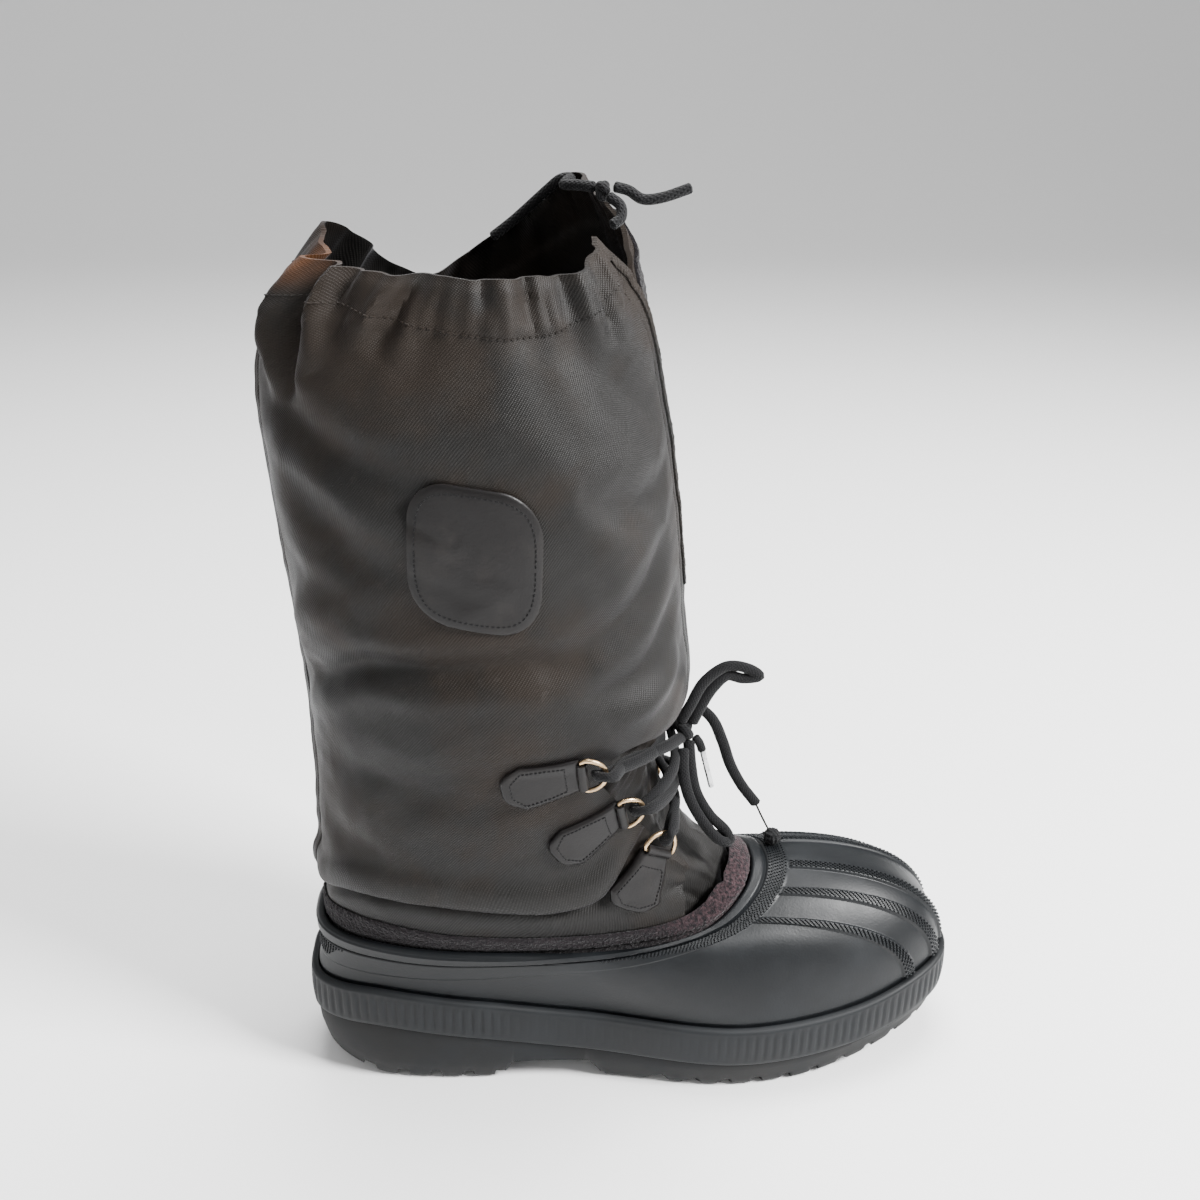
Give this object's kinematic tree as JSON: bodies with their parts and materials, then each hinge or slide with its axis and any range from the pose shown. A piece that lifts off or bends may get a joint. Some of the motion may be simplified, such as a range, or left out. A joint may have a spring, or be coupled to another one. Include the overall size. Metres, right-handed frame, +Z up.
{
  "type": "pac boot",
  "caption": "Tall winter pac boot for the right foot: moulded rubber foot shell with ribbed toe and lugged sole, slack nylon shaft with drawcord hem, ankle laces through D-rings.",
  "frame": {"origin": "centre of the heel's flat ground contact", "axes": "+X towards the toe, +Y towards the inner (medial) side, +Z up"},
  "size_m": [0.3128, 0.1223, 0.406],
  "materials": {
    "rubber": "satin black moulded rubber",
    "sole": "matt black rubber, dusty",
    "nylon": "charcoal twill nylon, a little worn and shiny",
    "fleece": "short dark pile",
    "leather": "black-brown smooth leather",
    "brass": "pale worn wire",
    "lace": "black woven cord",
    "tip": "bright metal tip",
    "felt": "grey felt"
  },
  "bodies": {
    "root": {"outsole": "sole", "foxing_band": "rubber", "rubber_shell": "rubber", "insole": "felt", "shaft": "nylon", "tongue": "nylon", "fleece_band": "fleece", "back_stay": "nylon", "badge": "leather", "tab_outer_top": "leather", "d_ring_outer_top": "brass", "tab_outer_middle": "leather", "d_ring_outer_middle": "brass", "tab_outer_low": "leather", "d_ring_outer_low": "brass", "tab_inner_top": "leather", "d_ring_inner_top": "brass", "tab_inner_middle": "leather", "d_ring_inner_middle": "brass", "tab_inner_low": "leather", "d_ring_inner_low": "brass", "lace_bars": "lace", "lace_knot": "lace", "lace_ball": "lace", "drawcord_knot": "lace", "aglet": "tip", "lace_loop_upper": "lace", "lace_loop_lower": "lace", "lace_end_long": "lace", "lace_thread": "lace", "lace_end_short": "lace", "drawcord_lead": "lace", "drawcord_loop": "lace", "drawcord_tail": "lace"}
  },
  "joints": []
}
